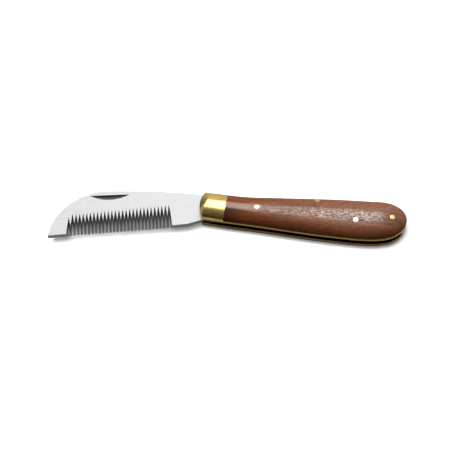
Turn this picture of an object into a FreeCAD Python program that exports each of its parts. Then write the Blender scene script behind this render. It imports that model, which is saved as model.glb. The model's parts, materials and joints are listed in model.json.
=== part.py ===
"""Folding slipjoint knife with a comb-toothed blade, lying open on its pile side.

Every piece is drawn in the knife's own frame: the pivot axis is Z through the
origin, the blade points along -X, the back of the knife is +Y and the slot of
the handle is -Y. The mid-plane of the blade is Z = 0. Each finished piece then
carries the same Placement, which sets the open knife's footprint centre on the
origin and its lowest point on Z = 0.
"""
import FreeCAD, Part
import math
import os

import Sketcher
from FreeCAD import Placement, Rotation, Vector

SIZES = {
    # Where the pivot axis stands in the part's own frame, and the mid-plane height.
    "pivot_place_x": -7.0,
    "pivot_place_y": 1.75,
    "mid_plane_height": 6.57,
    # Stack of the handle, from the mid-plane outwards.
    "blade_thickness": 2.4,
    "tang_thickness": 2.5,
    "slot_width": 2.6,
    "liner_thickness": 1.25,
    "cover_crown": 3.95,
    "grind_allowance": 2.0,
    # Handle outline: slot-side and back-side edges at each lengthwise station.
    "nose_x": -11.0, "nose_slot": -3.4, "nose_back": 11.9,
    "bolster_x": -3.0, "bolster_slot": -4.6, "bolster_back": 11.2,
    "collar_x": 6.0, "collar_slot": -6.25, "collar_back": 9.85,
    "neck_x": 16.0, "neck_slot": -7.85, "neck_back": 8.55,
    "grip_x": 30.0, "grip_slot": -10.25, "grip_back": 8.0,
    "middle_x": 46.0, "middle_slot": -13.1, "middle_back": 7.5,
    "belly_x": 64.0, "belly_slot": -15.8, "belly_back": 6.85,
    "rump_x": 82.0, "rump_slot": -16.9, "rump_back": 5.6,
    "butt_length": 14.6,
    "butt_rise": 0.9,
    # Blade outline.
    "shoulder_x": -3.55, "shoulder_top": 11.2,
    "spine_mid_x": -30.0, "spine_mid_y": 13.2,
    "spine_end_x": -52.0, "spine_end_y": 13.5,
    "belly_mid_x": -73.5, "belly_mid_y": 4.6,
    "tip_x": -82.5, "tip_y": -13.5,
    "heel_x": -13.0, "heel_y": -6.53,
    "choil_x": -5.2, "choil_y": -3.75,
    "heel_radius": 9.0,
    # Tang: two spring seats on a round cam, and the step where the thinner blade begins.
    "cam_radius": 4.7,
    "seat_distance": 4.2,
    "seat_gap": 0.05,
    "closing_angle": 171.0,
    "open_seat_end": 8.0,
    "closed_seat_front": -3.2,
    "closed_seat_rear": 6.0,
    "seat_cut_depth": 4.0,
    "tang_front": -2.33,
    "relief_gap": 0.3,
    # Comb ground into the mark side of the blade, deepest at its tip end.
    "comb_count": 28,
    "comb_pitch": 1.8025,
    "comb_root_x": -70.7, "comb_root_y": -0.55,
    "comb_row_slope": 8.96,
    "comb_row_rise": 1.0,
    "comb_lean": 3.0,
    "wheel_radius": 40.0,
    "wheel_depth": 3.92,
    "wheel_half_angle": 22.9,
    "wheel_sweep": 70.0,
    "short_root_drop": 1.83,
    "tooth_length": 11.45,
    "tooth_tip_radius": 0.5,
    "tooth_tip_slope": 5.3,
    "tip_gap_overlap": 0.02,
    "tip_gap_length": 3.0,
    # Nail nick.
    "nick_x": -52.5, "nick_y": 10.8,
    "nick_slope": 2.7,
    "nick_fall": 15.0,
    "nick_depth": 0.72,
    "nick_radius": 69.5,
    "nick_disc_height": 12.0,
    # Pins and their places.
    "pivot_pin_diameter": 3.2,
    "pivot_clearance": 0.03,
    "pin_diameter": 2.6,
    "front_pin_x": 21.7, "front_pin_y": 0.45,
    "rear_pin_x": 70.7, "rear_pin_y": -7.35,
    "spring_pin_x": 52.1, "spring_pin_y": 5.2,
    "butt_pin_x": 89.15, "butt_pin_y": -5.6,
    # Bolster: round front, faceted crown and the joint with the wood.
    "front_centre_x": 8.07, "front_centre_y": 2.43,
    "front_radius": 15.0,
    "facet_foot": 3.9,
    "facet_inset": 2.3,
    "joint_x": 5.8,
    "joint_lean": 9.8,
    # Back spring.
    "spring_front_x": -3.5,
    "spring_nose_x": 5.0,
    "spring_neck_x": 7.6, "spring_neck_y": 5.7,
    "spring_block_x": 85.7, "spring_block_y": 1.5,
    "spring_foot_y": -7.0,
    "spring_end_x": 95.0, "spring_end_y": -12.0,
    "spring_corner_radius": 1.5,
}

STATIONS = ("nose", "bolster", "collar", "neck", "grip", "middle", "belly", "rump")
BUTT_ANGLES = (22, 40, 54, 66, 76, 84)
BLANK_MARGIN = 3.0
END_CLEARANCE = 1.0
TOUCH = 1e-6
EDGE_SEARCH = 0.05
UPRIGHT = Rotation(Vector(1, 0, 0), 90)


def make_sheet(doc):
    """Put every driving dimension in one spreadsheet, each under its alias."""
    sheet = doc.addObject("Spreadsheet::Sheet", "Sizes")
    for row, (alias, value) in enumerate(SIZES.items(), start=1):
        sheet.set(f"A{row}", alias)
        sheet.set(f"B{row}", str(value))
        sheet.setAlias(f"B{row}", alias)
    doc.recompute()
    return sheet


def origin_plane(body, role):
    """Return the body's own origin plane with this role."""
    for feature in body.Origin.OriginFeatures:
        if feature.Role == role:
            return feature
    raise ValueError(f"no plane {role}")


def add_sketch(body, name, role="XY_Plane", offset=Placement()):
    """Attach an empty sketch to one of the body's origin planes."""
    sketch = body.newObject("Sketcher::SketchObject", name)
    sketch.AttachmentSupport = (origin_plane(body, role), "")
    sketch.MapMode = "FlatFace"
    sketch.AttachmentOffset = offset
    return sketch


def pin_point(sketch, geometry, end, x_cell, y_cell, sheet):
    """Tie one point of a sketch edge to two cells of the sheet."""
    for kind, cell in (("DistanceX", x_cell), ("DistanceY", y_cell)):
        value = sheet.get(cell)
        index = sketch.addConstraint(Sketcher.Constraint(kind, -1, 1, geometry, end, value))
        sketch.setExpression(f"Constraints[{index}]", f"Sizes.{cell}")


def edge_ends_at(sketch, place):
    """List the (edge, end) pairs of the sketch that lie at a place."""
    ends = ((edge, end) for edge in range(sketch.GeometryCount) for end in (1, 2))
    return [(edge, end) for edge, end in ends if sketch.getPoint(edge, end).isEqual(place, TOUCH)]


def join_ends(sketch):
    """Make the edge ends that meet in a closed chain coincident."""
    for edge in range(sketch.GeometryCount):
        for end in (1, 2):
            for other, other_end in edge_ends_at(sketch, sketch.getPoint(edge, end)):
                if other > edge:
                    sketch.addConstraint(Sketcher.Constraint("Coincident", edge, end, other, other_end))


def pin_corner(sketch, x_cell, y_cell, sheet):
    """Tie the corner that stands at two cells of the sheet to them."""
    place = Vector(sheet.get(x_cell), sheet.get(y_cell), 0)
    edge, end = edge_ends_at(sketch, place)[0]
    pin_point(sketch, edge, end, x_cell, y_cell, sheet)


def add_polygon(sketch, corners):
    """Draw a closed chain of straight edges through the given corners."""
    points = [Vector(x, y, 0) for x, y in corners]
    for start, end in zip(points, points[1:] + points[:1]):
        sketch.addGeometry(Part.LineSegment(start, end))
    join_ends(sketch)


def add_circle(sketch, radius_cell, sheet, x_cell=None, y_cell=None, factor=1.0):
    """Draw a circle whose radius is a cell times a factor, centred on two cells or the origin."""
    x = sheet.get(x_cell) if x_cell else 0.0
    y = sheet.get(y_cell) if y_cell else 0.0
    radius = sheet.get(radius_cell) * factor
    index = sketch.addGeometry(Part.Circle(Vector(x, y, 0), Vector(0, 0, 1), radius))
    size = sketch.addConstraint(Sketcher.Constraint("Radius", index, radius))
    sketch.setExpression(f"Constraints[{size}]", f"Sizes.{radius_cell} * {factor}")
    if x_cell:
        pin_point(sketch, index, 3, x_cell, y_cell, sheet)
    else:
        sketch.addConstraint(Sketcher.Constraint("Coincident", index, 3, -1, 1))
    return index


def pad(body, sketch, length, midplane=True, reverse=False):
    """Extrude a sketch; the length is an expression over the sheet."""
    feature = body.newObject("PartDesign::Pad", sketch.Name + "Pad")
    feature.Profile = sketch
    feature.Midplane = midplane
    feature.Reversed = reverse
    feature.setExpression("Length", length)
    return feature


def pocket_through(body, sketch):
    """Cut a sketch through the whole body, both ways from its plane."""
    feature = body.newObject("PartDesign::Pocket", sketch.Name + "Pocket")
    feature.Profile = sketch
    feature.Midplane = True
    feature.Type = "ThroughAll"
    return feature


def add_pin_hole(body, sheet, name, x_cell=None, y_cell=None, cell="pin_diameter"):
    """Bore one pin hole through a blank."""
    sketch = add_sketch(body, name)
    add_circle(sketch, cell, sheet, x_cell, y_cell, factor=0.5)
    return pocket_through(body, sketch)


def round_corners(body, radius, places):
    """Fillet the upright edges that stand at the given plan places."""
    body.Document.recompute()
    base = body.Tip
    names = []
    for number, edge in enumerate(base.Shape.Edges, start=1):
        low, high = edge.BoundBox.ZMin, edge.BoundBox.ZMax
        upright = edge.BoundBox.DiagonalLength - (high - low) < EDGE_SEARCH ** 2
        centre = edge.CenterOfMass
        if upright and any(math.hypot(centre.x - x, centre.y - y) < EDGE_SEARCH for x, y in places):
            names.append(f"Edge{number}")
    fillet = body.newObject("PartDesign::Fillet", body.Name + "Rounds")
    fillet.Base = (base, names)
    fillet.setExpression("Radius", radius)
    return fillet


def handle_sections(sheet):
    """List the handle's cross-sections: station, slot edge, back edge, crown height."""
    crown = sheet.get("cover_crown")
    rows = []
    for name in STATIONS:
        rows.append((sheet.get(f"{name}_x"), sheet.get(f"{name}_slot"), sheet.get(f"{name}_back"), crown))
    start, slot, back, _ = rows[-1]
    half = (back - slot) / 2
    middle = (back + slot) / 2
    for angle in BUTT_ANGLES:
        reach = math.sin(math.radians(angle))
        shrink = math.cos(math.radians(angle))
        centre = middle + sheet.get("butt_rise") * reach ** 2
        station = start + sheet.get("butt_length") * reach
        rows.append((station, centre - half * shrink, centre + half * shrink, crown * shrink))
    return rows


def make_ground_form(doc, sheet):
    """Loft the outside of the whole handle, to which every handle piece is ground flush."""
    body = doc.addObject("PartDesign::Body", "GroundForm")
    wall = sheet.get("slot_width") / 2 + sheet.get("liner_thickness")
    sketches = []
    for number, (station, slot, back, crown) in enumerate(handle_sections(sheet)):
        lengthwise = Placement(Vector(0, 0, station), Rotation())
        sketch = add_sketch(body, f"Section{number}", "YZ_Plane", lengthwise)
        centre = (slot + back) / 2
        half = (back - slot) / 2
        for sign in (1, -1):
            oval = Part.Ellipse(Vector(centre, sign * wall, 0), half, crown)
            turn = 0 if sign > 0 else math.pi
            sketch.addGeometry(Part.ArcOfEllipse(oval, turn, turn + math.pi))
            side = slot if sign > 0 else back
            sketch.addGeometry(Part.LineSegment(Vector(side, sign * wall, 0), Vector(side, -sign * wall, 0)))
        sketches.append(sketch)
    doc.recompute()
    loft = body.newObject("PartDesign::AdditiveLoft", "HandleLoft")
    loft.Profile = sketches[0]
    loft.Sections = sketches[1:]
    doc.recompute()
    return body


def finish_piece(doc, blank, form, label):
    """Grind a blank flush with the handle's outside and name the finished piece."""
    piece = doc.addObject("Part::Common", "Piece_" + label)
    piece.Base = blank
    piece.Tool = form
    return place_piece(piece, label)


def place_piece(piece, label):
    """Label a finished piece and stand it in the part's own frame."""
    piece.Label = label
    for axis, cell in (("x", "pivot_place_x"), ("y", "pivot_place_y"), ("z", "mid_plane_height")):
        piece.setExpression(f"Placement.Base.{axis}", f"Sizes.{cell}")
    return piece


def along_seat(sheet, distance, along):
    """Place a point beside the closed seat: outwards from the pivot, then along the seat."""
    facing = math.radians(90 - sheet.get("closing_angle"))
    x = distance * math.cos(facing) - along * math.sin(facing)
    y = distance * math.sin(facing) + along * math.cos(facing)
    return x, y


def draw_blade_profile(body, sheet):
    """Draw the blade's outline from the shoulder round the tip and back to the tang."""
    sketch = add_sketch(body, "BladeProfile")
    cells = [("shoulder_x", "shoulder_top"), ("spine_end_x", "spine_end_y"), ("tip_x", "tip_y"),
             ("heel_x", "heel_y"), ("choil_x", "choil_y"), ("shoulder_x", "seat_distance")]
    corners = [Vector(sheet.get(x), sheet.get(y), 0) for x, y in cells]
    shoulder, spine_end, tip, heel, choil, seat_front = corners
    spine_mid = Vector(sheet.get("spine_mid_x"), sheet.get("spine_mid_y"), 0)
    belly_mid = Vector(sheet.get("belly_mid_x"), sheet.get("belly_mid_y"), 0)
    tang_front = Vector(*along_seat(sheet, sheet.get("seat_distance"), sheet.get("tang_front")), 0)
    pivot = Vector(0, 0, 0)
    sketch.addGeometry(Part.Arc(shoulder, spine_mid, spine_end))
    sketch.addGeometry(Part.Arc(spine_end, belly_mid, tip))
    chain = [tip, heel, choil, tang_front, pivot, seat_front, shoulder]
    for start, end in zip(chain, chain[1:]):
        sketch.addGeometry(Part.LineSegment(start, end))
    join_ends(sketch)
    for x_cell, y_cell in cells:
        pin_corner(sketch, x_cell, y_cell, sheet)
    return sketch


def repeat_along(body, sheet, cut, start, slope, pitch, rise=0.0):
    """Repeat a cut along the comb on a straight row with a slope in plan and a rise off it."""
    count = int(sheet.get("comb_count"))
    guide = body.newObject("PartDesign::Line", cut.Name + "Guide")
    heading = Rotation(Vector(0, 0, 1), slope) * Rotation(Vector(0, 1, 0), 90 - rise)
    guide.Placement = Placement(start, heading)
    row = body.newObject("PartDesign::LinearPattern", cut.Name + "Row")
    row.Originals = [cut]
    row.Direction = (guide, [""])
    row.Length = pitch * (count - 1)
    row.setExpression("Occurrences", "Sizes.comb_count")
    body.Tip = row
    body.Document.recompute()


def grind_groove(body, sheet, name, root):
    """Grind one V groove with a thin wheel that enters the mark side at the root."""
    radius = sheet.get("wheel_radius")
    depth = sheet.get("wheel_depth")
    reach = math.sqrt(depth * (2 * radius - depth))
    down = Rotation(Vector(0, 0, 1), sheet.get("comb_lean")).multVec(Vector(0, -1, 0))
    centre = root + down * reach + Vector(0, 0, sheet.get("blade_thickness") / 2 - depth + radius)
    sketch = body.newObject("Sketcher::SketchObject", name)
    sketch.Placement = Placement(centre, Rotation(Vector(0, 0, 1), sheet.get("comb_lean")) * UPRIGHT)
    flank = 2 * depth
    spread = flank * math.tan(math.radians(sheet.get("wheel_half_angle")))
    add_polygon(sketch, [(0, -radius), (spread, flank - radius), (-spread, flank - radius)])
    cut = body.newObject("PartDesign::Groove", name + "Cut")
    cut.Profile = sketch
    cut.ReferenceAxis = (sketch, ["H_Axis"])
    cut.Angle = sheet.get("wheel_sweep")
    cut.Midplane = True
    body.Document.recompute()
    return cut


def round_tips(body, sheet, root, pitch):
    """Open one gap towards the edge so that the teeth on either side end round."""
    lean = Rotation(Vector(0, 0, 1), sheet.get("comb_lean"))
    place = root + lean.multVec(Vector(0, -sheet.get("tooth_length"), 0))
    sketch = add_sketch(body, "TipGap", offset=Placement(place, lean))
    half = pitch / 2
    outside = half + sheet.get("tip_gap_overlap")
    below = -sheet.get("tip_gap_length")
    radius = sheet.get("tooth_tip_radius")
    bend = radius * math.sqrt(0.5)
    for sign in (-1, 1):
        corner, tip_end = Vector(sign * outside, 0, 0), Vector(sign * half, 0, 0)
        tip_middle = Vector(sign * (half - bend), radius - bend, 0)
        tip_side = Vector(sign * (half - radius), radius, 0)
        sketch.addGeometry(Part.LineSegment(Vector(sign * outside, below, 0), corner))
        sketch.addGeometry(Part.LineSegment(corner, tip_end))
        sketch.addGeometry(Part.Arc(tip_end, tip_middle, tip_side))
    sketch.addGeometry(Part.LineSegment(Vector(-outside, below, 0), Vector(outside, below, 0)))
    sketch.addGeometry(Part.LineSegment(Vector(radius - half, radius, 0), Vector(half - radius, radius, 0)))
    cut = pocket_through(body, sketch)
    body.Document.recompute()
    return cut


def cut_comb(body, sheet):
    """Cut the whole comb: the even row of grooves, the short first groove and the tips."""
    pitch = sheet.get("comb_pitch")
    slope = sheet.get("comb_row_slope")
    tip_slope = sheet.get("tooth_tip_slope")
    root = Vector(sheet.get("comb_root_x"), sheet.get("comb_root_y"), 0)
    step = Rotation(Vector(0, 0, 1), slope).multVec(Vector(pitch, 0, 0))
    groove = grind_groove(body, sheet, "Groove", root)
    repeat_along(body, sheet, groove, root, slope, pitch, sheet.get("comb_row_rise"))
    grind_groove(body, sheet, "ShortGroove", root - step - Vector(0, sheet.get("short_root_drop"), 0))
    across = math.cos(math.radians(slope + sheet.get("comb_lean")))
    gap = round_tips(body, sheet, root, pitch * across)
    repeat_along(body, sheet, gap, root, tip_slope, step.x / math.cos(math.radians(tip_slope)))


def cut_spring_seats(body, sheet):
    """Cut the two flats on which the spring holds the blade open and closed."""
    seat = sheet.get("seat_distance")
    top = seat + sheet.get("seat_cut_depth")
    shoulder = sheet.get("shoulder_x")
    end = sheet.get("open_seat_end")
    open_seat = add_sketch(body, "OpenSeat")
    add_polygon(open_seat, [(shoulder, seat), (end, seat), (end, top), (shoulder, top)])
    pocket_through(body, open_seat)
    front, rear = sheet.get("closed_seat_front"), sheet.get("closed_seat_rear")
    closed_seat = add_sketch(body, "ClosedSeat")
    corners = [(seat, front), (seat, rear), (top, rear), (top, front)]
    add_polygon(closed_seat, [along_seat(sheet, distance, along) for distance, along in corners])
    pocket_through(body, closed_seat)


def thin_blade(body, sheet):
    """Grind both faces of the blade a little below the tang, up to a round step by the bolster."""
    centre = Vector(sheet.get("front_centre_x"), sheet.get("front_centre_y"), 0)
    inner = sheet.get("front_radius") + sheet.get("relief_gap")
    outer = centre.distanceToPoint(Vector(sheet.get("tip_x"), sheet.get("tip_y"), 0)) + BLANK_MARGIN
    for side, sign in (("Mark", 1), ("Pile", -1)):
        face = Placement(Vector(0, 0, sign * sheet.get("blade_thickness") / 2), Rotation())
        sketch = add_sketch(body, side + "Relief", offset=face)
        for radius in (inner, outer):
            sketch.addGeometry(Part.Circle(centre, Vector(0, 0, 1), radius))
        cut = body.newObject("PartDesign::Pocket", side + "ReliefCut")
        cut.Profile = sketch
        cut.setExpression("Length", "Sizes.tang_thickness - Sizes.blade_thickness")
        cut.Reversed = sign > 0


def make_blade(doc, sheet):
    """Make the blade with its tang, seats, pivot hole, comb and nail nick in one piece."""
    body = doc.addObject("PartDesign::Body", "Blade")
    pad(body, draw_blade_profile(body, sheet), "Sizes.tang_thickness")
    cam = add_sketch(body, "Cam")
    add_circle(cam, "cam_radius", sheet)
    pad(body, cam, "Sizes.tang_thickness")
    cut_spring_seats(body, sheet)
    hole = add_sketch(body, "PivotHole")
    radius = sheet.get("pivot_pin_diameter") / 2 + sheet.get("pivot_clearance")
    index = hole.addGeometry(Part.Circle(Vector(0, 0, 0), Vector(0, 0, 1), radius))
    size = hole.addConstraint(Sketcher.Constraint("Radius", index, radius))
    hole.setExpression(f"Constraints[{size}]", "Sizes.pivot_pin_diameter / 2 + Sizes.pivot_clearance")
    pocket_through(body, hole)
    round_corners(body, "Sizes.heel_radius", [(sheet.get("heel_x"), sheet.get("heel_y"))])
    thin_blade(body, sheet)
    cut_comb(body, sheet)
    cut_nick(body, sheet)
    return place_piece(body, "blade")


def cut_nick(body, sheet):
    """Sink the nail nick with a tilted disc, straight on its spine side."""
    disc = body.newObject("PartDesign::SubtractiveCylinder", "NailNick")
    disc.setExpression("Radius", "Sizes.nick_radius")
    disc.setExpression("Height", "Sizes.nick_disc_height")
    turn = Rotation(Vector(0, 0, 1), sheet.get("nick_slope"))
    tilt = Rotation(Vector(1, 0, 0), 90 - sheet.get("nick_fall"))
    axis = turn * tilt
    depth = sheet.get("nick_depth")
    chord = Vector(sheet.get("nick_x"), sheet.get("nick_y"), sheet.get("blade_thickness") / 2 - depth)
    up = axis.multVec(Vector(0, 1, 0))
    disc.Placement = Placement(chord + up * sheet.get("nick_radius"), axis)
    return disc


def add_blank(doc, name, low, high, corners, reverse):
    """Pad a block between two heights over the mid-plane, on the mark or the pile side."""
    body = doc.addObject("PartDesign::Body", name)
    sketch = add_sketch(body, name + "Plan")
    sketch.setExpression("AttachmentOffset.Base.z", f"{'-' if reverse else ''}({low})")
    add_polygon(sketch, corners)
    pad(body, sketch, f"{high} - ({low})", midplane=False, reverse=reverse)
    return body


def joint_points(sheet):
    """Find where the slanting bolster joint crosses the blank's two long edges."""
    lean = math.tan(math.radians(sheet.get("joint_lean")))
    joint = sheet.get("joint_x")
    low = sheet.get("rump_slot") - BLANK_MARGIN
    high = sheet.get("nose_back") + BLANK_MARGIN
    return (joint + lean * low, low), (joint + lean * high, high)


def round_front(body, sheet, reverse, facet):
    """Turn the front of a blank to the handle's round nose, with a facet on a bolster."""
    centre = Vector(sheet.get("front_centre_x"), sheet.get("front_centre_y"), 0)
    turn = Rotation(Vector(1, 0, 0), -90) if reverse else Rotation(Vector(1, 0, 0), 90)
    sketch = body.newObject("Sketcher::SketchObject", body.Name + "Front")
    sketch.Placement = Placement(centre, turn)
    radius = sheet.get("front_radius")
    outer = 2 * radius
    crown = sheet.get("slot_width") / 2 + sheet.get("liner_thickness") + sheet.get("cover_crown")
    top = crown + sheet.get("grind_allowance")
    foot = sheet.get("facet_foot")
    inset = sheet.get("facet_inset") * (top - foot) / (crown - foot)
    corners = [(-radius, 0), (-radius, top), (-outer, top), (-outer, 0)]
    if facet:
        corners = [(-radius, 0), (-radius, foot), (-radius + inset, top), (-outer, top), (-outer, 0)]
    add_polygon(sketch, corners)
    groove = body.newObject("PartDesign::Groove", body.Name + "FrontCut")
    groove.Profile = sketch
    groove.ReferenceAxis = (sketch, ["V_Axis"])
    groove.Angle = 180.0
    groove.Midplane = True
    return groove


def make_side(doc, sheet, form, side):
    """Make one side of the handle: its liner, bolster, wooden scale and two short pins."""
    reverse = side == "pile"
    inner = "Sizes.slot_width / 2"
    outer = "Sizes.slot_width / 2 + Sizes.liner_thickness"
    crown = outer + " + Sizes.cover_crown + Sizes.grind_allowance"
    joint_low, joint_high = joint_points(sheet)
    front = sheet.get("nose_x") + END_CLEARANCE
    rear = sheet.get("rump_x") + sheet.get("butt_length") + BLANK_MARGIN
    front_low, front_high = (front, joint_low[1]), (front, joint_high[1])
    rear_low, rear_high = (rear, joint_low[1]), (rear, joint_high[1])
    name = side.capitalize()

    liner_plan = [front_low, rear_low, rear_high, front_high]
    liner = add_blank(doc, name + "LinerBlank", inner, outer, liner_plan, reverse)
    round_front(liner, sheet, reverse, facet=False)
    bolster_plan = [front_low, joint_low, joint_high, front_high]
    bolster = add_blank(doc, name + "BolsterBlank", outer, crown, bolster_plan, reverse)
    round_front(bolster, sheet, reverse, facet=True)
    scale_plan = [joint_low, rear_low, rear_high, joint_high]
    scale = add_blank(doc, name + "ScaleBlank", outer, crown, scale_plan, reverse)
    for blank in (liner, bolster):
        add_pin_hole(blank, sheet, blank.Name + "PivotHole", cell="pivot_pin_diameter")
    for blank in (liner, scale):
        for place in ("front_pin", "rear_pin", "spring_pin", "butt_pin"):
            add_pin_hole(blank, sheet, f"{blank.Name}_{place}", place + "_x", place + "_y")
    pieces = [finish_piece(doc, liner, form, side + "_side_liner"),
              finish_piece(doc, bolster, form, side + "_side_bolster"),
              finish_piece(doc, scale, form, side + "_side_scale")]
    for place in ("front_pin", "rear_pin"):
        bar = add_pin_bar(doc, side + place, place, "pin_diameter")
        bar.setExpression("Placement.Base.z", f"-{inner} - Sizes.mid_plane_height" if reverse else inner)
        bar.setExpression("Height", "Sizes.mid_plane_height")
        pieces.append(finish_piece(doc, bar, form, f"{side}_{place.split('_')[0]}_scale_pin"))
    return pieces


def add_pin_bar(doc, name, place, cell):
    """Stand a round bar on a pin's place, long enough to be ground flush on both sides."""
    bar = doc.addObject("Part::Cylinder", "Bar_" + name)
    bar.setExpression("Radius", f"Sizes.{cell} / 2")
    bar.setExpression("Height", "2 * (Sizes.mid_plane_height + Sizes.grind_allowance)")
    bar.setExpression("Placement.Base.z", "-Sizes.mid_plane_height - Sizes.grind_allowance")
    if place:
        bar.setExpression("Placement.Base.x", f"Sizes.{place}_x")
        bar.setExpression("Placement.Base.y", f"Sizes.{place}_y")
    return bar


def make_through_pins(doc, form):
    """Make the pivot pin and the two pins that run through both scales and the spring."""
    pivot = add_pin_bar(doc, "pivot", None, "pivot_pin_diameter")
    centre = add_pin_bar(doc, "spring", "spring_pin", "pin_diameter")
    butt = add_pin_bar(doc, "butt", "butt_pin", "pin_diameter")
    return [finish_piece(doc, pivot, form, "pivot_pin"),
            finish_piece(doc, centre, form, "spring_centre_pin"),
            finish_piece(doc, butt, form, "butt_pin")]


def make_back_spring(doc, sheet, form):
    """Make the back spring: nose over the tang, long bending arm and block at the butt."""
    body = doc.addObject("PartDesign::Body", "SpringBlank")
    sketch = add_sketch(body, "SpringPlan")
    nose_y = sheet.get("seat_distance") + sheet.get("seat_gap")
    front = sheet.get("spring_front_x")
    block = sheet.get("spring_block_x")
    block_corner = (block, sheet.get("spring_block_y"))
    end = (sheet.get("spring_end_x"), sheet.get("spring_end_y"))
    back = sheet.get("nose_back") + BLANK_MARGIN
    rear = sheet.get("rump_x") + sheet.get("butt_length") + BLANK_MARGIN
    foot = (block, sheet.get("spring_foot_y"))
    neck = (sheet.get("spring_neck_x"), sheet.get("spring_neck_y"))
    corners = [(front, nose_y), (sheet.get("spring_nose_x"), nose_y), neck, block_corner, foot, end,
               (rear, end[1]), (rear, back), (front, back)]
    add_polygon(sketch, corners)
    pad(body, sketch, "Sizes.slot_width")
    for place in ("spring_pin", "butt_pin"):
        add_pin_hole(body, sheet, "Spring_" + place, place + "_x", place + "_y")
    round_corners(body, "Sizes.spring_corner_radius", [block_corner, foot, neck])
    return finish_piece(doc, body, form, "back_spring")


def check_document(doc, pieces):
    """Stop before anything is written if an object failed or a piece is not one valid solid."""
    for item in doc.Objects:
        if "Invalid" in item.State or "Error" in item.State:
            raise RuntimeError(f"{item.Name} did not build")
    for piece in pieces:
        if piece.Shape.isNull() or not piece.Shape.isValid() or len(piece.Shape.Solids) != 1:
            raise RuntimeError(f"{piece.Label} is not one valid solid")


def main():
    """Build the knife and write one STEP file for each finished piece."""
    doc = FreeCAD.newDocument("FoldingKnife")
    sheet = make_sheet(doc)
    form = make_ground_form(doc, sheet)
    pieces = [make_blade(doc, sheet), make_back_spring(doc, sheet, form)]
    for side in ("mark", "pile"):
        pieces.extend(make_side(doc, sheet, form, side))
    pieces.extend(make_through_pins(doc, form))
    doc.recompute()
    check_document(doc, pieces)
    os.makedirs("parts", exist_ok=True)
    for piece in pieces:
        piece.Shape.exportStep(f"parts/{piece.Label}.step")


main()
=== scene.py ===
"""A folding knife with a comb-toothed blade, lying open on a pale table in soft studio light."""

import json
import math

import bmesh
import bpy
import numpy as np
from mathutils import Matrix, Vector


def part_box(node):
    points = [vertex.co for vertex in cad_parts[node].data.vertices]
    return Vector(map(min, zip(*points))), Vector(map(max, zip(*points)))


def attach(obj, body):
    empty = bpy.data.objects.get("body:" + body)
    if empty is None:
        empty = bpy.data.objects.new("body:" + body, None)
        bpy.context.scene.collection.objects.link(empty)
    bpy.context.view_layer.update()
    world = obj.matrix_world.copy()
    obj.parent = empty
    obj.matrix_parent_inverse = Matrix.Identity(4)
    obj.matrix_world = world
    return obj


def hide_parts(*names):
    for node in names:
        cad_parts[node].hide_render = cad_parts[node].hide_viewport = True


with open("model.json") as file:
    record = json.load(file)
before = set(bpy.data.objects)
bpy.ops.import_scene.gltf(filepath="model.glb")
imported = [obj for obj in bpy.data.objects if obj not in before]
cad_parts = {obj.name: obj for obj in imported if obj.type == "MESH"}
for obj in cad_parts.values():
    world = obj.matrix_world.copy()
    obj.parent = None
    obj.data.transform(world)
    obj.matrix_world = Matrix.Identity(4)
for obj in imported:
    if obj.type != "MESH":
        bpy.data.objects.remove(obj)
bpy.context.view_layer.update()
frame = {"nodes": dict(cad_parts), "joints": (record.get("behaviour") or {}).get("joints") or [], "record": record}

MM = 0.001
SIDES = ("mark", "pile")

# ---------------------------------------------------------------- places read from the frame
HINGE = Vector(next(j for j in frame["joints"] if j["name"] == "blade_pivot")["pos_m"])
MID_Z = HINGE.z
LINER_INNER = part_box("mark_side_liner")[0].z - MID_Z
LINER_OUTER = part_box("mark_side_liner")[1].z - MID_Z
HANDLE_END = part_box("mark_side_liner")[1].x

# ---------------------------------------------------------------- shape of the handle
CROWN = 3.95 * MM
BUTT_LENGTH = 14.6 * MM
BUTT_FLAT_ANGLE = math.radians(84)
BUTT_START = HANDLE_END - BUTT_LENGTH * math.sin(BUTT_FLAT_ANGLE)
FRONT_CENTRE = HINGE.xy + Vector((8.07, 2.43)) * MM
FRONT_RADIUS = 15.0 * MM
FACET_FOOT = 3.9 * MM
FACET_INSET = 3.0 * MM
FACET_LEAN = 1.8
JOINT_X = HINGE.x + 5.8 * MM
JOINT_SLOPE = math.tan(math.radians(9.8))
STRAIGHT_STATIONS = (-10.0, -4.0, 2.0, 9.0, 16.0, 23.0, 31.0, 39.0, 48.0, 57.0, 66.0)
BUTT_STATION_ANGLES = (0, 12, 24, 36, 48, 60, 70, 80)

# Where the ends of the wood and of the bolster's crown are looked for, and how finely.
JOINT_REACH = 12 * MM
FRONT_REACH = 19 * MM
HALVINGS = 40

# ---------------------------------------------------------------- mesh limits
WELD = 1e-7
SHARP_ANGLE = math.radians(35)
FLAT_ANGLE = math.radians(0.3)
BREAK_ANGLE = math.radians(40)
WEIGHT_BY_AREA = 100


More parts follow.
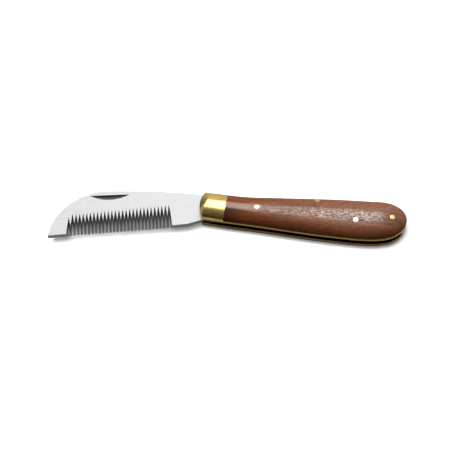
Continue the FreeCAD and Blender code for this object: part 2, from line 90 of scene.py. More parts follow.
def natural_spline(knots, values):
    """Return a function that runs smoothly through the values, and straight on past both ends."""
    knots, values = np.array(knots, float), np.array(values, float)
    count = len(knots)
    step = np.diff(knots)
    matrix, right = np.eye(count), np.zeros(count)
    for i in range(1, count - 1):
        matrix[i, i - 1:i + 2] = step[i - 1], 2 * (step[i - 1] + step[i]), step[i]
        right[i] = 6 * ((values[i + 1] - values[i]) / step[i] - (values[i] - values[i - 1]) / step[i - 1])
    bend = np.linalg.solve(matrix, right)
    first_slope = (values[1] - values[0]) / step[0] - step[0] * bend[1] / 6
    last_slope = (values[-1] - values[-2]) / step[-1] + step[-1] * bend[-2] / 6

    def curve(place):
        place = np.asarray(place, float)
        i = np.clip(np.searchsorted(knots, place) - 1, 0, count - 2)
        a, b, h = knots[i + 1] - place, place - knots[i], step[i]
        inside = ((bend[i] * a ** 3 + bend[i + 1] * b ** 3) / (6 * h)
                  + (values[i] / h - bend[i] * h / 6) * a + (values[i + 1] / h - bend[i + 1] * h / 6) * b)
        before = values[0] + first_slope * (place - knots[0])
        after = values[-1] + last_slope * (place - knots[-1])
        return np.where(place < knots[0], before, np.where(place > knots[-1], after, inside))

    return curve


def station_to_x(station):
    """A station is a plain X up to the butt, and then turns into the butt's quarter round."""
    angle = np.clip((station - BUTT_START) / BUTT_LENGTH, 0, math.pi / 2)
    return np.where(station < BUTT_START, station, BUTT_START + BUTT_LENGTH * np.sin(angle))


def x_to_station(x):
    """The station at a given X."""
    reach = np.clip((np.asarray(x, float) - BUTT_START) / BUTT_LENGTH, 0, 1)
    return np.where(x < BUTT_START, x, BUTT_START + BUTT_LENGTH * np.arcsin(reach))


def read_handle_edges():
    """Read the handle's two long edges off the liner's wall, as smooth curves over the station."""
    liner = frame["nodes"]["mark_side_liner"]
    level = MID_Z + (LINER_INNER + LINER_OUTER) / 2
    stations = [x * MM for x in STRAIGHT_STATIONS]
    stations += [BUTT_START + BUTT_LENGTH * math.radians(angle) for angle in BUTT_STATION_ANGLES]
    slot, back = [], []
    for station in stations:
        x = float(station_to_x(station))
        for side, found in ((-1, slot), (1, back)):
            hit, point, _, _ = liner.ray_cast(Vector((x, side, level)), Vector((0, -side, 0)))
            assert hit
            found.append(point.y)
    return natural_spline(stations, slot), natural_spline(stations, back)


slot_edge, back_edge = read_handle_edges()


def form_point(station, turn):
    """A point of the mark side's crown: turn runs from 0 at the back edge to pi at the slot edge."""
    x = station_to_x(station)
    slot, back = slot_edge(station), back_edge(station)
    shrink = np.cos(np.clip((station - BUTT_START) / BUTT_LENGTH, 0, math.pi / 2))
    y = (slot + back) / 2 + (back - slot) / 2 * np.cos(turn)
    z = LINER_OUTER + CROWN * shrink * np.sin(turn)
    return np.stack([x, y, z], axis=-1)


def form_height(x, y):
    """Height of the mark side's crown over the mid-plane at a place in plan."""
    station = x_to_station(x)
    slot, back = slot_edge(station), back_edge(station)
    across = np.clip((y - (slot + back) / 2) / ((back - slot) / 2), -1, 1)
    return form_point(station, np.arccos(across))[..., 2]


def solve_station(turn, low, high, past):
    """Halve the span between two stations until past(point) changes sign there."""
    low, high = np.full_like(turn, low), np.full_like(turn, high)
    for _ in range(HALVINGS):
        middle = (low + high) / 2
        beyond = past(form_point(middle, turn))
        low, high = np.where(beyond, low, middle), np.where(beyond, middle, high)
    return (low + high) / 2


def joint_station(turn):
    """Where the slanting joint of bolster and wood crosses the crown."""
    def past(p):
        return p[..., 0] > JOINT_X + JOINT_SLOPE * (p[..., 1] - HINGE.y)
    return solve_station(turn, HINGE.x, HINGE.x + JOINT_REACH, past)


def facet_radius(y, z):
    """Distance of the bolster's front from its centre: the facet cuts in with height, and more to the back."""
    rise = np.clip(z - FACET_FOOT, 0, None) / (LINER_OUTER + CROWN - FACET_FOOT)
    lean = 1 + FACET_LEAN * (y - FRONT_CENTRE.y) / FRONT_RADIUS
    return FRONT_RADIUS - FACET_INSET * rise * lean


def front_station(turn):
    """Where the crown begins behind the bolster's facet."""
    def past(p):
        reach = np.hypot(p[..., 0] - FRONT_CENTRE.x, p[..., 1] - FRONT_CENTRE.y)
        return reach < facet_radius(p[..., 1], p[..., 2])
    return solve_station(turn, FRONT_CENTRE.x - FRONT_REACH, FRONT_CENTRE.x, past)


# ---------------------------------------------------------------- mesh helpers
def new_object(name, bm):
    """Turn a finished bmesh into an object in the scene."""
    mesh = bpy.data.meshes.new(name)
    bm.to_mesh(mesh)
    bm.free()
    obj = bpy.data.objects.new(name, mesh)
    bpy.context.scene.collection.objects.link(obj)
    return obj


def crown_solid(name, top, mark_side):
    """Close a crown grid (across, along, xyz over the mid-plane) down to the liner's outer face."""
    across, along = top.shape[:2]
    side = 1 if mark_side else -1
    bm = bmesh.new()

    def place(p, z):
        return Vector((p[0], p[1], MID_Z + side * z))

    upper = [[bm.verts.new(place(p, p[2])) for p in row] for row in top]
    border = ([(0, j) for j in range(along)] + [(i, along - 1) for i in range(1, across)]
              + [(across - 1, j) for j in range(along - 2, -1, -1)] + [(i, 0) for i in range(across - 2, 0, -1)])
    lower = [bm.verts.new(place(top[i, j], LINER_OUTER)) for i, j in border]
    for i in range(across - 1):
        for j in range(along - 1):
            bm.faces.new((upper[i][j], upper[i + 1][j], upper[i + 1][j + 1], upper[i][j + 1]))
    for k, (i, j) in enumerate(border):
        n = (k + 1) % len(border)
        bm.faces.new((upper[i][j], upper[border[n][0]][border[n][1]], lower[n], lower[k]))
    bm.faces.new(lower)
    bmesh.ops.remove_doubles(bm, verts=bm.verts, dist=WELD)
    bmesh.ops.dissolve_degenerate(bm, dist=WELD, edges=bm.edges)
    bmesh.ops.recalc_face_normals(bm, faces=bm.faces)
    return new_object(name, bm)


def apply_modifiers(obj):
    """Make the object's modifiers part of its mesh."""
    dg = bpy.context.evaluated_depsgraph_get()
    mesh = bpy.data.meshes.new_from_object(obj.evaluated_get(dg), depsgraph=dg)
    obj.modifiers.clear()
    obj.data = mesh


def smooth_shade(obj):
    """Shade smooth between sharp edges, with every large flat face kept flat."""
    obj.data.shade_smooth()
    obj.data.set_sharp_from_angle(angle=SHARP_ANGLE)
    weighted = obj.modifiers.new("flat_faces", "WEIGHTED_NORMAL")
    weighted.keep_sharp = True
    weighted.weight = WEIGHT_BY_AREA
    apply_modifiers(obj)


# ---------------------------------------------------------------- handle pieces
def scale_grid(across=110, along=440):
    """The wood's crown, from the slanting joint to the tip of the butt."""
    turn = np.linspace(0, math.pi, across)
    start = joint_station(turn)
    end = BUTT_START + BUTT_LENGTH * math.pi / 2
    share = np.linspace(0, 1, along)
    station = start[:, None] + (end - start)[:, None] * share[None, :]
    return form_point(station, np.broadcast_to(turn[:, None], station.shape))


def bolster_grid(across=140, along=70, facet_rows=10):
    """The bolster's facet and the crown behind it, up to the slanting joint."""
    turn = np.linspace(0, math.pi, across)
    start, end = front_station(turn), joint_station(turn)
    share = np.linspace(0, 1, along)
    station = start[:, None] + (end - start)[:, None] * share[None, :]
    crown = form_point(station, np.broadcast_to(turn[:, None], station.shape))
    edge = crown[:, 0]
    offset = edge[:, :2] - np.array(FRONT_CENTRE)
    bearing = offset / np.linalg.norm(offset, axis=1)[:, None]
    foot_z = np.minimum(edge[:, 2], FACET_FOOT)
    foot = np.concatenate([np.array(FRONT_CENTRE) + bearing * FRONT_RADIUS, foot_z[:, None]], axis=1)
    share = np.linspace(0, 1, facet_rows)[:-1]
    facet = foot[:, None] + (edge - foot)[:, None] * share[None, :, None]
    return np.concatenate([facet, crown], axis=1)


def pin_solid(name, centre, radius, bottom, top, edge_break, rings=8, around=64):
    """A round bar whose two ends follow the height functions bottom and top."""
    bm = bmesh.new()
    reach = [radius * k / rings for k in range(1, rings)] + [radius - edge_break, radius]
    bearing = np.arange(around) * 2 * math.pi / around
    ends = []
    for height, side in ((top, 1), (bottom, -1)):
        middle = bm.verts.new((*centre, MID_Z + height(np.array(centre.x), np.array(centre.y), 0.0)))
        loops = []
        for r in reach:
            x, y = centre.x + r * np.cos(bearing), centre.y + r * np.sin(bearing)
            z = height(x, y, r / radius) - (side * edge_break if r == radius else 0)
            loops.append([bm.verts.new((x[i], y[i], MID_Z + z[i])) for i in range(around)])
        for i in range(around):
            n = (i + 1) % around
            bm.faces.new((middle, loops[0][i], loops[0][n]))
            for inner, outer in zip(loops, loops[1:]):
                bm.faces.new((inner[i], outer[i], outer[n], inner[n]))
        ends.append(loops[-1])
    for i in range(around):
        n = (i + 1) % around
        bm.faces.new((ends[0][i], ends[0][n], ends[1][n], ends[1][i]))
    bmesh.ops.recalc_face_normals(bm, faces=bm.faces)
    return new_object(name, bm)


def crown_top(dome):
    """Height function of a pin's end on the mark side: flush at its rim and domed at its middle."""
    return lambda x, y, share: form_height(x, y) + dome * (1 - share ** 2)


def mirrored(height):
    """The same end on the pile side."""
    return lambda x, y, share: -height(x, y, share)


def level(z):
    """Height function of a flat end."""
    return lambda x, y, share: np.full_like(x, z)


def pin_place(node):
    """Centre in plan and radius of a CAD pin."""
    low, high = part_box(node)
    return Vector(((low.x + high.x) / 2, (low.y + high.y) / 2)), (high.x - low.x) / 2


PIN_NODES = [node for node in frame["nodes"] if node.endswith("_pin")]
PIN_EDGE = 0.05 * MM
PIVOT_EDGE = 0.01 * MM
PIN_GAP = 0.035 * MM
PIN_DOMES = {"spring_centre_pin": 0.05 * MM, "butt_pin": 0.06 * MM, "pivot_pin": 0.0}
FLUSH_DOME = 0.04 * MM


def add_pins():
    """Seven pins, whose ends follow the crown."""
    made = {}
    for node in PIN_NODES:
        centre, radius = pin_place(node)
        top = crown_top(PIN_DOMES.get(node, FLUSH_DOME))
        inside = level(LINER_INNER)
        ends = (mirrored(top), top)
        if node.startswith("mark"):
            ends = (inside, top)
        elif node.startswith("pile"):
            ends = (mirrored(top), mirrored(inside))
        edge = PIVOT_EDGE if node == "pivot_pin" else PIN_EDGE
        made[node] = pin_solid(f"{node}_finished", centre, radius, *ends, edge)
    return made


def cut_away(obj, cutter):
    """Take the cutter's shape out of the piece, and remove the cutter."""
    cut = obj.modifiers.new("cut", "BOOLEAN")
    cut.operation = "DIFFERENCE"
    cut.solver = "EXACT"
    cut.object = cutter
    apply_modifiers(obj)
    bpy.data.objects.remove(cutter)


def pins_through(cover):
    """The pins that come out through a cover."""
    side, kind = cover.split("_side_")
    if kind == "bolster":
        return ["pivot_pin"]
    other = "pile" if side == "mark" else "mark"
    return [node for node in PIN_NODES if node != "pivot_pin" and not node.startswith(other)]


def drill_pin_holes(piece, cover):
    """Drill the holes of a cover's pins; only the pivot's is a tight fit."""
    reach = level(2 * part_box(cover)[1].z)
    for node in pins_through(cover):
        centre, radius = pin_place(node)
        gap = 0.0 if node == "pivot_pin" else PIN_GAP
        cut_away(piece, pin_solid("drill", centre, radius + gap, mirrored(reach), reach, 0.0, rings=2))


# The grain's lean in degrees, and where each split starts from the pin's middle, its length and its width.
GRAIN_TURN = -7.0
SPLIT_DEPTH = 0.45 * MM
SPLITS = ((-1.0 * MM, 1.6 * MM, 0.9 * MM), (1.0 * MM, 3.2 * MM, 0.7 * MM), (2.2 * MM, 2.4 * MM, 0.45 * MM))


def boat(name, centre, length, width, depth, turn):
    """A slender boat-shaped cutter for a split in the grain, set on the crown."""
    bm = bmesh.new()
    bmesh.ops.create_uvsphere(bm, u_segments=24, v_segments=12, radius=1.0)
    for v in bm.verts:
        taper = 1 - 0.5 * v.co.x ** 2
        v.co = Vector((v.co.x * length / 2, v.co.y * width / 2 * taper, v.co.z * depth))
    bm.transform(Matrix.Rotation(turn, 4, "Z"))
    height = float(form_height(np.array(centre.x), np.array(centre.y)))
    bm.transform(Matrix.Translation((centre.x, centre.y, MID_Z + height)))
    return new_object(name, bm)


def open_grain(scale):
    """Small splits that the drill tore open on both sides of the rear pin."""
    centre, _ = pin_place("mark_rear_scale_pin")
    angle = math.radians(GRAIN_TURN)
    for start, length, width in SPLITS:
        along = start + math.copysign(length / 2, start)
        place = centre + Vector((math.cos(angle), math.sin(angle))) * along
        cut_away(scale, boat("split", place, length, width, SPLIT_DEPTH, angle))


def add_covers():
    """The two scales and the two bolsters, with their holes and splits."""
    made = {}
    for side in SIDES:
        for kind, grid in (("scale", scale_grid()), ("bolster", bolster_grid())):
            node = f"{side}_side_{kind}"
            piece = crown_solid(f"{node}_finished", grid, side == "mark")
            drill_pin_holes(piece, node)
            if node == "mark_side_scale":
                open_grain(piece)
            made[node] = piece
    return made


def cad_copy(node):
    """A copy of a CAD piece with its flat faces joined up."""
    bm = bmesh.new()
    bm.from_mesh(frame["nodes"][node].data)
    bmesh.ops.remove_doubles(bm, verts=bm.verts, dist=WELD)
    bmesh.ops.dissolve_limit(bm, angle_limit=FLAT_ANGLE, verts=bm.verts, edges=bm.edges)
    obj = new_object(f"{node}_finished", bm)
    attribute = obj.data.attributes.get("custom_normal")
    if attribute is not None:
        obj.data.attributes.remove(attribute)
    return obj


def break_edges(obj, width):
    """Round the piece's sharp edges slightly."""
    bevel = obj.modifiers.new("edge_break", "BEVEL")
    bevel.width = width
    bevel.segments = 2
    bevel.limit_method = "ANGLE"
    bevel.angle_limit = BREAK_ANGLE
    bevel.use_clamp_overlap = False
    apply_modifiers(obj)


EDGE_BREAKS = {"mark_side_liner": 0.08 * MM, "pile_side_liner": 0.08 * MM, "back_spring": 0.12 * MM}


def add_finished_pieces():
    """Every finished piece by the CAD node that it replaces."""
    made = {**add_pins(), **add_covers(), "blade": cad_copy("blade")}
    for node, width in EDGE_BREAKS.items():
        made[node] = cad_copy(node)
        break_edges(made[node], width)
    for node, piece in made.items():
        smooth_shade(piece)
        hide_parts(node)
        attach(piece, "blade" if node == "blade" else "handle")
    return made


# ---------------------------------------------------------------- materials
class Nodes:
    """Adds and links the nodes of one material or of the world."""

    def __init__(self, tree):
        self.tree = tree
        self.coordinates = self.add("ShaderNodeTexCoord").outputs

    def add(self, kind, **settings):
        """Add a node with the given settings."""
        node = self.tree.nodes.new(kind)
        for key, value in settings.items():
            setattr(node, key, value)
        return node

    def link(self, source, target):
        """Lead one socket to another, or set a plain value."""
        if isinstance(source, (int, float, tuple)):
            target.default_value = source
        else:
            self.tree.links.new(source, target)

    def axes(self, vector):
        """The X, Y and Z of a vector."""
        split = self.add("ShaderNodeSeparateXYZ")
        self.link(vector, split.inputs[0])
        return tuple(split.outputs)

    def stretched(self, scale, turn_z=0.0):
        """Object coordinates in millimetres, turned about Z and scaled along each axis."""
        node = self.add("ShaderNodeMapping", vector_type="TEXTURE")
        self.link(self.coordinates["Object"], node.inputs["Vector"])
        node.inputs["Rotation"].default_value = (0, 0, math.radians(turn_z))
        node.inputs["Scale"].default_value = tuple(MM * s for s in scale)
        return node.outputs["Vector"]

    def noise(self, scale, turn_z=0.0, detail=4.0, roughness=0.55, distortion=0.0):
        """Noise whose features are about scale millimetres along each axis."""
        node = self.add("ShaderNodeTexNoise")
        self.link(self.stretched(scale, turn_z), node.inputs["Vector"])
        node.inputs["Scale"].default_value = 1.0
        node.inputs["Detail"].default_value = detail
        node.inputs["Roughness"].default_value = roughness
        node.inputs["Distortion"].default_value = distortion
        return node.outputs["Fac"]

    def ramp(self, source, *stops):
        """Colour ramp from (place, colour) stops; a number stands for a grey."""
        node = self.add("ShaderNodeValToRGB")
        elements = node.color_ramp.elements
        while len(elements) < len(stops):
            elements.new(0.5)
        for element, (place, colour) in zip(elements, stops):
            element.position = place
            element.color = (colour,) * 3 + (1,) if isinstance(colour, (int, float)) else (*colour, 1)
        self.link(source, node.inputs["Fac"])
        return node.outputs["Color"]

    def remap(self, source, low, high, out_low, out_high):
        """Turn low to high into out_low to out_high, and hold the ends."""
        node = self.add("ShaderNodeMapRange")
        self.link(source, node.inputs["Value"])
        for key, value in (("From Min", low), ("From Max", high), ("To Min", out_low), ("To Max", out_high)):
            node.inputs[key].default_value = value
        return node.outputs["Result"]

    def maths(self, operation, *values):
        """The result of one sum."""
        node = self.add("ShaderNodeMath", operation=operation)
        for value, socket in zip(values, node.inputs):
            self.link(value, socket)
        return node.outputs[0]

    def mix(self, share, first, second, blend="MIX"):
        """Mix a share of the second colour into the first."""
        node = self.add("ShaderNodeMix", data_type="RGBA", blend_type=blend)
        self.link(share, node.inputs["Factor"])
        for key, value in (("A", first), ("B", second)):
            socket = next(s for s in node.inputs if s.name == key and s.type == "RGBA")
            self.link((*value, 1) if isinstance(value, tuple) and len(value) == 3 else value, socket)
        return next(s for s in node.outputs if s.type == "RGBA")

    def bump(self, height, distance, strength=1.0, after=None):
        """The normal of a surface raised by height, on top of an earlier bump."""
        node = self.add("ShaderNodeBump")
        self.link(height, node.inputs["Height"])
        node.inputs["Distance"].default_value = distance
        node.inputs["Strength"].default_value = strength
        if after is not None:
            self.link(after, node.inputs["Normal"])
        return node.outputs["Normal"]


class Surface(Nodes):
    """The nodes of one material, round its one Principled BSDF."""

    def __init__(self, name):
        self.material = bpy.data.materials.new(name)
        self.material.use_nodes = True
        super().__init__(self.material.node_tree)
        self.shader = self.tree.nodes["Principled BSDF"]

    def set(self, **inputs):
        """Set the shader's inputs; an underscore stands for a space."""
        for key, value in inputs.items():
            self.link(value, self.shader.inputs[key.replace("_", " ")])


WHITE = (1.0, 1.0, 1.0)

# Wood: tones of its broad bands, streaks and threads by place on a ramp, of the painted shade behind the joint and
# along the slot, and of its pores.
BAND_TONES = ((0.3, (0.155, 0.038, 0.006)), (0.5, (0.275, 0.070, 0.010)), (0.72, (0.37, 0.102, 0.016)))
STREAK_TONES = ((0.32, (0.52, 0.46, 0.44)), (0.5, 1.0), (0.75, (1.12, 1.08, 1.04)))
THREAD_TONES = ((0.3, 0.66), (0.6, 1.05))
JOINT_SHADE_TONE = (0.05, 0.018, 0.009)
SLOT_SHADE_TONE = (0.045, 0.012, 0.002)
PORE_TONE = (0.05, 0.017, 0.007)

# Distances behind the joint between which the wood changes.
JOINT_SHADE_REACH = (1 * MM, 11 * MM)
COARSE_REACH = (6 * MM, 28 * MM)
GLOSS_REACH = (0.0, 62 * MM)


def grain_colour(n):
    """Broad reddish bands with streaks and fine threads along the grain, and the threads alone."""
    broad = n.noise((60, 5, 5), GRAIN_TURN, detail=3, distortion=0.6)
    streak = n.noise((26, 0.8, 0.8), GRAIN_TURN, detail=5, distortion=0.5)
    fine = n.noise((9, 0.22, 0.22), GRAIN_TURN, detail=4)
    colour = n.mix(0.8, n.ramp(broad, *BAND_TONES), n.ramp(streak, *STREAK_TONES), "MULTIPLY")
    return n.mix(0.7, colour, n.ramp(fine, *THREAD_TONES), "MULTIPLY"), fine


def grain_pores(n):
    """Fine long pores and short open ones."""
    fine_pores = n.noise((2.6, 0.16, 0.16), GRAIN_TURN, detail=1.5, roughness=0.4)
    open_pores = n.noise((1.5, 0.36, 0.36), GRAIN_TURN, detail=2.5, roughness=0.5)
    return n.maths("MAXIMUM", n.remap(fine_pores, 0.58, 0.66, 0.0, 1.0), n.remap(open_pores, 0.53, 0.62, 0.0, 1.0))


def wood_material():
    """Oiled wood: smooth by the bolster with painted shade just behind its joint, open-pored and glossier to the butt,
    with painted shade and less gloss on the faces turned to the slot.
    """
    n = Surface("oiled_rosewood")
    x, y, _ = n.axes(n.coordinates["Object"])
    behind = n.maths("ADD", x, n.maths("MULTIPLY_ADD", y, -JOINT_SLOPE, JOINT_SLOPE * HINGE.y - JOINT_X))
    coarse = n.remap(behind, *COARSE_REACH, 0.0, 1.0)
    # Painted shade: the faces turned towards the slot are painted darker, and their coat is made less glossy.
    slot_shade_and_dull = n.remap(n.axes(n.coordinates["Normal"])[1], -0.42, -0.14, 1.0, 0.0)
    pores = n.maths("MULTIPLY", grain_pores(n), coarse)

    colour, threads = grain_colour(n)
    # Painted shade: the lower half of the wood just behind the bolster's joint is painted darker.
    joint_shade = n.maths("MULTIPLY", n.remap(behind, *JOINT_SHADE_REACH, 0.8, 0.0),
                      n.remap(y, HINGE.y - 1 * MM, HINGE.y + 3 * MM, 1.0, 0.15))
    colour = n.mix(joint_shade, colour, JOINT_SHADE_TONE)
    colour = n.mix(n.maths("MULTIPLY", slot_shade_and_dull, 0.42), colour, SLOT_SHADE_TONE)
    colour = n.mix(n.maths("MULTIPLY", pores, 0.55), colour, PORE_TONE)
    n.set(Base_Color=colour, Roughness=n.remap(pores, 0, 1, 0.45, 0.75), Specular_IOR_Level=0.1)

    gloss = n.maths("MULTIPLY", n.remap(behind, *GLOSS_REACH, 0.24, 0.85), n.remap(pores, 0, 1, 1.0, 0.3))
    gloss = n.maths("MULTIPLY", gloss, n.remap(slot_shade_and_dull, 0.0, 1.0, 1.0, 0.5))
    n.set(Coat_Weight=gloss, Coat_Roughness=n.remap(coarse, 0, 1, 0.12, 0.2), Coat_IOR=1.7)

    ripple = n.maths("MULTIPLY", threads, n.remap(coarse, 0, 1, 0.2, 1.0))
    normal = n.bump(n.maths("MULTIPLY", pores, -1.0), 0.04 * MM, 0.7)
    normal = n.bump(ripple, 0.012 * MM, 0.5, after=normal)
    n.set(Normal=normal, Coat_Normal=normal)
    return n.material


def metal_material(name, colour, roughness, lines=0.25, line_depth=0.004, spots=0.08):
    """Metal with fine polishing lines along X and slightly duller patches."""
    n = Surface(name)
    hair = n.noise((30, 0.06, 0.06), detail=3, roughness=0.6)
    cloud = n.noise((5, 2.5, 2.5), detail=6, roughness=0.65)
    tint = n.ramp(cloud, (0.38, 1.0 - spots), (0.6, 1.0))
    n.set(Base_Color=n.mix(1.0, colour, tint, "MULTIPLY"), Metallic=1.0)
    n.set(Roughness=n.remap(hair, 0.3, 0.7, roughness * (1 - lines), roughness * (1 + lines)))
    n.set(Normal=n.bump(hair, line_depth * MM, 1.0))
    return n.material


# Painted highlight: how far up from the pile side the steel is painted bright, and how bright.
HOLLOW_GLINT_REACH = 1.1 * MM
GLINT_STEEL = (0.95, 0.95, 0.95)


def hollow_material(name, low, high):
    """Wheel-ground steel between two greys, with a painted highlight along the thin edges on the pile side."""
    n = Surface(name)
    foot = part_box("blade")[0].z
    marks = n.noise((0.3, 0.3, 3), detail=3)
    # Painted highlight, strongest at the pile side and fading upwards.
    edge_glint = n.remap(n.axes(n.coordinates["Object"])[2], foot, foot + HOLLOW_GLINT_REACH, 0.9, 0.0)
    ground = n.ramp(marks, (0.3, low), (0.7, high))
    n.set(Base_Color=n.mix(edge_glint, ground, GLINT_STEEL), Metallic=1.0, Roughness=0.4)
    return n.material


TABLE_GLOW = 0.22
GLOW_START, GLOW_END = 0.22, 0.5


def table_material():
    """Pale card that glows faintly under the knife and evenly bright further out."""
    n = Surface("pale_table")
    radial = n.add("ShaderNodeVectorMath", operation="LENGTH")
    n.link(n.coordinates["Object"], radial.inputs[0])
    glow = n.remap(radial.outputs["Value"], GLOW_START, GLOW_END, TABLE_GLOW, 1.0)
    grain = n.noise((3, 3, 3), detail=3)
    n.set(Base_Color=n.ramp(grain, (0.3, 0.80), (0.7, 0.82)), Roughness=0.9, Specular_IOR_Level=0.0)
    n.set(Emission_Color=(*WHITE, 1.0), Emission_Strength=glow)
    return n.material


def bounce_material():
    """Plain matt grey that only passes light on."""
    n = Surface("table_bounce")
    n.set(Base_Color=(0.7, 0.7, 0.7, 1.0), Roughness=0.9, Specular_IOR_Level=0.0)
    return n.material


def glow_material():
    """Even white light from the backdrop."""
    n = Surface("backdrop")
    n.set(Base_Color=(0.0, 0.0, 0.0, 1.0), Specular_IOR_Level=0.0)
    n.set(Emission_Color=(*WHITE, 1.0), Emission_Strength=1.0)
    return n.material


def give(obj, material):
    """Make this the object's only material."""
    obj.data.materials.clear()
    obj.data.materials.append(material)


# ---------------------------------------------------------------- studio
CAMERA_TARGET = Vector((-0.72, -5.23, 6.57)) * MM
CAMERA_ELEVATION = math.radians(56)
CAMERA_DISTANCE = 0.9
CAMERA_LENS = 143.36
CAMERA_SENSOR = 36.0


def add_camera():
    """Look down on the knife from its slot side."""
    camera = bpy.data.objects.new("camera", bpy.data.cameras.new("camera"))
    camera.data.lens = CAMERA_LENS
    camera.data.sensor_width = CAMERA_SENSOR
    back = Vector((0, -math.cos(CAMERA_ELEVATION), math.sin(CAMERA_ELEVATION)))
    camera.location = CAMERA_TARGET + back * CAMERA_DISTANCE
    camera.rotation_euler = (math.pi / 2 - CAMERA_ELEVATION, 0, 0)
    bpy.context.scene.collection.objects.link(camera)
    bpy.context.scene.camera = camera


def direction(behind, right):
    """Unit vector that leans from straight up, in degrees, away from the camera and to the right."""
    y, x = math.tan(math.radians(behind)), math.tan(math.radians(right))
    return Vector((x, y, 1)).normalized()


LAMP_DISTANCE = 1.0


def add_lamp(name, towards, width, power, colour):
    """Hang a square softbox in a direction from the knife, facing it."""
    data = bpy.data.lights.new(name, "AREA")
    data.shape = "SQUARE"
    data.size = width
    data.color = colour
    data.energy = power
    lamp = bpy.data.objects.new(name, data)
    lamp.location = towards * LAMP_DISTANCE
    lamp.rotation_euler = towards.to_track_quat("Z", "Y").to_euler()
    bpy.context.scene.collection.objects.link(lamp)
    return lamp


def light_only(lamp, objects, state):
    """Let the lamp light just these objects, or everything but them."""
    group = bpy.data.collections.new(lamp.name + "_receivers")
    for obj in objects:
        group.objects.link(obj)
    for entry in group.collection_objects:
        entry.light_linking.link_state = state
    lamp.light_linking.receiver_collection = group


def show_to(obj, camera, light):
    """Say whether the camera sees a stage object, and whether reflections and bounced light do."""
    obj.visible_camera = camera
    obj.visible_diffuse = light
    obj.visible_glossy = light
    obj.visible_transmission = light
    obj.visible_shadow = False


STAGE_REACH = 4.0
BOUNCE_HEIGHT = -0.02 * MM


def flat_stage(name, height, material):
    """A square sheet of the stage."""
    mesh = bpy.data.meshes.new(name)
    corners = [(x * STAGE_REACH, y * STAGE_REACH, height) for x, y in ((-1, -1), (1, -1), (1, 1), (-1, 1))]
    mesh.from_pydata(corners, [], [(0, 1, 2, 3)])
    obj = bpy.data.objects.new(name, mesh)
    bpy.context.scene.collection.objects.link(obj)
    give(obj, material)
    return obj


def add_stage():
    """A pale table, its twin that only bounces light, and a pale backdrop all round."""
    table = flat_stage("table", 0, table_material())
    bounce = flat_stage("table_bounce", BOUNCE_HEIGHT, bounce_material())
    bm = bmesh.new()
    bmesh.ops.create_uvsphere(bm, u_segments=48, v_segments=24, radius=STAGE_REACH)
    backdrop = new_object("backdrop", bm)
    give(backdrop, glow_material())
    show_to(table, camera=True, light=False)
    show_to(bounce, camera=False, light=True)
    show_to(backdrop, camera=True, light=False)
    return table, bounce


# Brightness of the dark studio by direction: degrees from straight up towards the camera, and radiance.
STUDIO_RING = ((-180, 0.3), (-105, 0.6), (-60, 0.7), (-48, 0.7), (-10, 0.4),
               (0, 0.22), (20, 0.13), (60, 0.05), (180, 0.05))
SIDE_START, SIDE_END, SIDE_DIM = 0.35, 0.75, 0.1


def add_world():
    """A dark studio, brighter away from the camera and dimmer to the sides."""
    world = bpy.data.worlds.new("studio")
    bpy.context.scene.world = world
    world.use_nodes = True
    n = Nodes(world.node_tree)
    x, y, z = n.axes(n.coordinates["Generated"])
    lean = n.maths("ARCTAN2", n.maths("MULTIPLY", y, -1.0), z)
    ring = n.remap(lean, -math.pi, math.pi, 0.0, 1.0)
    background = n.tree.nodes["Background"]
    n.link(n.ramp(ring, *(((degrees + 180) / 360, radiance) for degrees, radiance in STUDIO_RING)),
           background.inputs["Color"])
    n.link(n.remap(n.maths("ABSOLUTE", x), SIDE_START, SIDE_END, 1.0, SIDE_DIM), background.inputs["Strength"])


WARM = (1.0, 0.95, 0.87)

# Lamp: degrees it leans away from the camera and to the right, width, power, colour, and what it lights or leaves out.
LAMPS = {
    "metal_softbox": (29, 0, 0.53, 3.2, WHITE, "EXCLUDE", ("table", "table_bounce", "wood")),
    "wood_softbox": (34, 0, 0.41, 6.6, WARM, "INCLUDE", ("table_bounce", "wood")),
    "left_fill": (40, -50, 1.2, 2.5, WHITE, "INCLUDE", ("wood", "blade")),
    "right_fill": (40, 50, 1.2, 2.5, WHITE, "INCLUDE", ("wood", "blade")),
    "table_lamp": (-5, -11, 0.8, 20.0, WHITE, "INCLUDE", ("table",)),
}


def add_studio(wood, blade):
    """The stage, its lamps and the studio round it."""
    table, bounce = add_stage()
    groups = {"table": [table], "table_bounce": [bounce], "wood": wood, "blade": [blade]}
    for name, (behind, right, width, power, colour, state, lit) in LAMPS.items():
        lamp = add_lamp(name, direction(behind, right), width, power, colour)
        light_only(lamp, [obj for group in lit for obj in groups[group]], state)
    add_world()
    bpy.context.scene.view_settings.view_transform = "Standard"


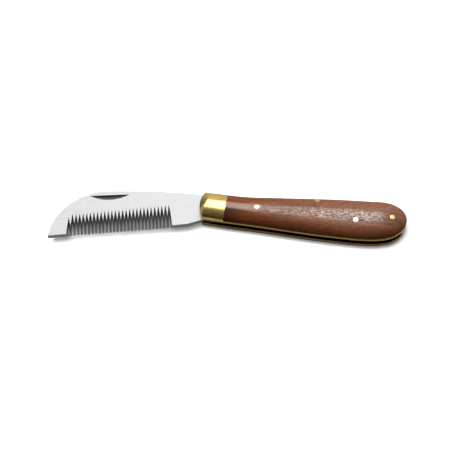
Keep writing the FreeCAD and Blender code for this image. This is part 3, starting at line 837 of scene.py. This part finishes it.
# ---------------------------------------------------------------- assembly
FINISHES = {
    "bolster_brass": metal_material("polished_brass", (0.86, 0.62, 0.215), 0.2, 0.35, 0.003, 0.2),
    "liner_brass": metal_material("ground_brass", (0.80, 0.55, 0.20), 0.32),
    "pin_brass": metal_material("pin_brass", (0.86, 0.62, 0.23), 0.22),
    # The scale pins' brass is painted paler than the other pins: a painted highlight, so that they read white in the
    # light.
    "brass_painted_highlight": metal_material("brass_painted_highlight", (0.88, 0.76, 0.55), 0.25),
    "blade_steel": metal_material("satin_steel", (0.48, 0.48, 0.482), 0.5, 0.1, 0.001, 0.03),
    "spring_steel": metal_material("spring_steel", (0.45, 0.45, 0.46), 0.35),
    "scale_wood": wood_material(),
}
SLOT_OF = {part["node"]: part["material_slot"] for part in frame["record"]["subparts"]}

# Limits on the parts of a face's normal.
UPRIGHT, LEVEL, ACROSS, FLAT = 0.02, 0.99, 0.5, 0.9


def coat_faces(obj, material, wanted):
    """Give another material to the wanted faces."""
    obj.data.materials.append(material)
    for face in obj.data.polygons:
        if wanted(face):
            face.material_index = len(obj.data.materials) - 1


def is_groove(face):
    """A flank of one of the comb's grooves, which looks along the comb and up."""
    return UPRIGHT < face.normal.z < LEVEL and abs(face.normal.x) > ACROSS


def is_nick(face):
    """A wall of the nail nick, which looks across the blade and up."""
    return UPRIGHT < face.normal.z < LEVEL and abs(face.normal.x) <= ACROSS


def is_tang_edge(face):
    """The edge of the tang, behind the front of the bolsters."""
    return abs(face.normal.z) < UPRIGHT and face.center.x > FRONT_CENTRE.x - FRONT_RADIUS


def is_flat(face):
    """A flat side of a liner, as against its ground edge."""
    return abs(face.normal.z) > FLAT


finished = add_finished_pieces()
for node, piece in finished.items():
    give(piece, FINISHES["brass_painted_highlight" if node.endswith("scale_pin") else SLOT_OF[node]])
for node, obj in frame["nodes"].items():
    give(obj, FINISHES[SLOT_OF[node]])

# The grooves' steel carries the painted highlight along the teeth's edges.
coat_faces(finished["blade"], hollow_material("ground_groove", 0.34, 0.42), is_groove)
# Painted shade: the nail nick's steel is painted nearly black.
coat_faces(finished["blade"], hollow_material("nick_painted_shade", 0.05, 0.07), is_nick)
# Painted shade: the tang's edge inside the handle is painted dark.
coat_faces(finished["blade"], metal_material("tang_painted_shade", (0.06, 0.055, 0.05), 0.5), is_tang_edge)
# Painted shade: the liners' flat sides are painted near-black brass, as shade inside the slot.
slot_shade_brass = metal_material("slot_painted_shade_brass", (0.035, 0.026, 0.012), 0.5)
for side in SIDES:
    coat_faces(finished[f"{side}_side_liner"], slot_shade_brass, is_flat)

add_camera()
wood_and_pins = [piece for node, piece in finished.items()
                 if node.endswith("_scale") or node in ("butt_pin", "spring_centre_pin")]
add_studio(wood_and_pins, finished["blade"])
